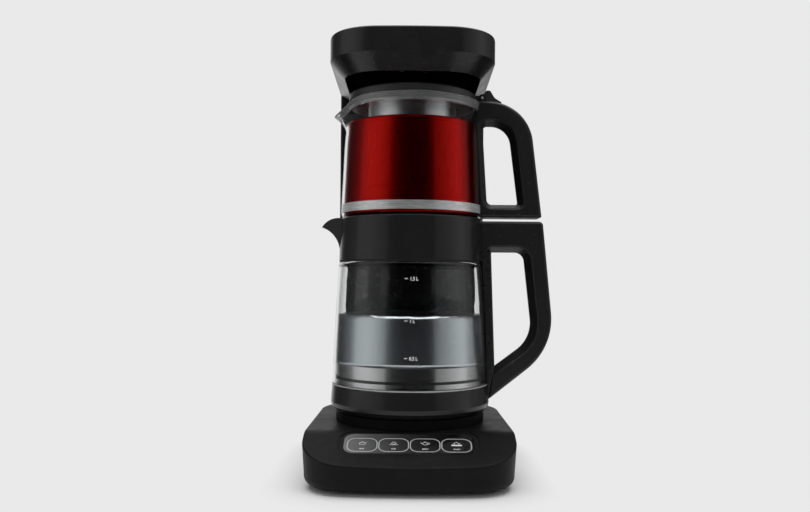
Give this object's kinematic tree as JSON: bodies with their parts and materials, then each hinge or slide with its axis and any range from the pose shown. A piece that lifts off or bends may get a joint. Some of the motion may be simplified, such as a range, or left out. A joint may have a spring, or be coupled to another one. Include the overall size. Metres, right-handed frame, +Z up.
{
  "type": "automatic tea maker",
  "caption": "Tea maker with a glass kettle and a glass teapot stacked on a base with a sloped key panel, and a column whose head drops boiling water into the teapot.",
  "frame": {"origin": "on the floor, in the middle of the whole footprint, handles and spouts included", "axes": "+Z up, -Y towards the person at the keys, +X towards the handles, so the spouts point along -X"},
  "size_m": [0.224, 0.2418, 0.3923],
  "materials": {
    "casing_black": "gloss black moulded plastic",
    "gloss_black": "high gloss black plastic",
    "key_black": "gloss black key cap",
    "handle_black": "satin black plastic",
    "inner_plastic": "matt dark grey plastic",
    "light_ring": "translucent light guide",
    "clear_glass": "clear borosilicate glass",
    "polished_steel": "bright brushed stainless steel",
    "heater_aluminium": "cast aluminium",
    "contact_brass": "plain brass",
    "black_rubber": "matt black rubber",
    "clear_silicone": "milky silicone",
    "board_green": "circuit board"
  },
  "bodies": {
    "root": {"base_tray": "casing_black", "base_cover": "casing_black", "feet": "black_rubber", "plinth": "casing_black", "case_screws": "polished_steel", "panel_fascia": "gloss_black", "key_rings": "light_ring", "control_board": "board_green", "key_switches": "inner_plastic", "power_board": "board_green", "power_parts": "board_green", "pump_housing": "inner_plastic", "pump_motor": "polished_steel", "inlet_hose": "clear_silicone", "riser_hose": "clear_silicone", "dock_socket": "inner_plastic", "dock_o_ring": "clear_silicone", "dock_contacts": "contact_brass", "cord_gland": "black_rubber", "column_front_cover": "casing_black", "column_rear_cover": "casing_black", "column_frame": "polished_steel", "head_shell": "casing_black", "head_top_cover": "casing_black", "head_ceiling": "casing_black", "outlet_nozzle": "inner_plastic", "nozzle_gasket": "clear_silicone", "wireless_board": "board_green"},
    "key_kettle_body": {"key_kettle": "key_black"},
    "key_cup_body": {"key_cup": "key_black"},
    "key_teapot_body": {"key_teapot": "key_black"},
    "key_start_body": {"key_start": "key_black"},
    "pump_rotor_body": {"pump_rotor": "inner_plastic"},
    "kettle": {"kettle_glass": "clear_glass", "kettle_ring": "gloss_black", "kettle_bottom_cover": "inner_plastic", "heater_pan": "polished_steel", "pan_gasket": "black_rubber", "glass_seat": "clear_silicone", "heater_element": "heater_aluminium", "thermostat": "inner_plastic", "outlet_body": "inner_plastic", "outlet_spring": "polished_steel", "kettle_contacts": "contact_brass", "kettle_collar": "gloss_black", "collar_gasket": "black_rubber", "kettle_handle": "handle_black", "kettle_handle_strip": "handle_black", "kettle_handle_screws": "polished_steel"},
    "outlet_valve": {"outlet_poppet": "inner_plastic"},
    "teapot": {"teapot_glass": "clear_glass", "teapot_band": "polished_steel", "band_bolt": "polished_steel", "teapot_handle": "handle_black", "hinge_pin": "polished_steel", "strainer": "polished_steel"},
    "lid": {"lid_disc": "gloss_black", "lid_gasket": "black_rubber"}
  },
  "joints": [
    {"name": "kettle_draw", "type": "slide", "parent": "root", "child": "kettle", "axis": [0, -1, 0], "range_m": [0, 0.22]},
    {"name": "teapot_draw", "type": "slide", "parent": "kettle", "child": "teapot", "axis": [0, -1, 0], "range_m": [0, 0.2]},
    {"name": "lid_hinge", "type": "hinge", "parent": "teapot", "child": "lid", "pos_m": [0.04557, 0.0044, 0.349], "axis": [0, 1, 0], "range_deg": [0, 8]},
    {"name": "pump_spin", "type": "hinge", "parent": "root", "child": "pump_rotor_body", "pos_m": [0.01957, 0.0234, 0.024], "axis": [0, 1, 0], "continuous": true},
    {"name": "outlet_valve_slide", "type": "slide", "parent": "kettle", "child": "outlet_valve", "axis": [0, 1, 0], "range_m": [0, 0.003], "stiffness_N_per_m": 80, "deforming": ["outlet_spring"]},
    {"name": "key_kettle_press", "type": "slide", "parent": "root", "child": "key_kettle_body", "axis": [0, 0.3387, -0.9409], "range_m": [0, 0.0005], "stiffness_N_per_m": 1500},
    {"name": "key_cup_press", "type": "slide", "parent": "root", "child": "key_cup_body", "axis": [0, 0.3387, -0.9409], "range_m": [0, 0.0005], "stiffness_N_per_m": 1500},
    {"name": "key_teapot_press", "type": "slide", "parent": "root", "child": "key_teapot_body", "axis": [0, 0.3387, -0.9409], "range_m": [0, 0.0005], "stiffness_N_per_m": 1500},
    {"name": "key_start_press", "type": "slide", "parent": "root", "child": "key_start_body", "axis": [0, 0.3387, -0.9409], "range_m": [0, 0.0005], "stiffness_N_per_m": 1500}
  ]
}
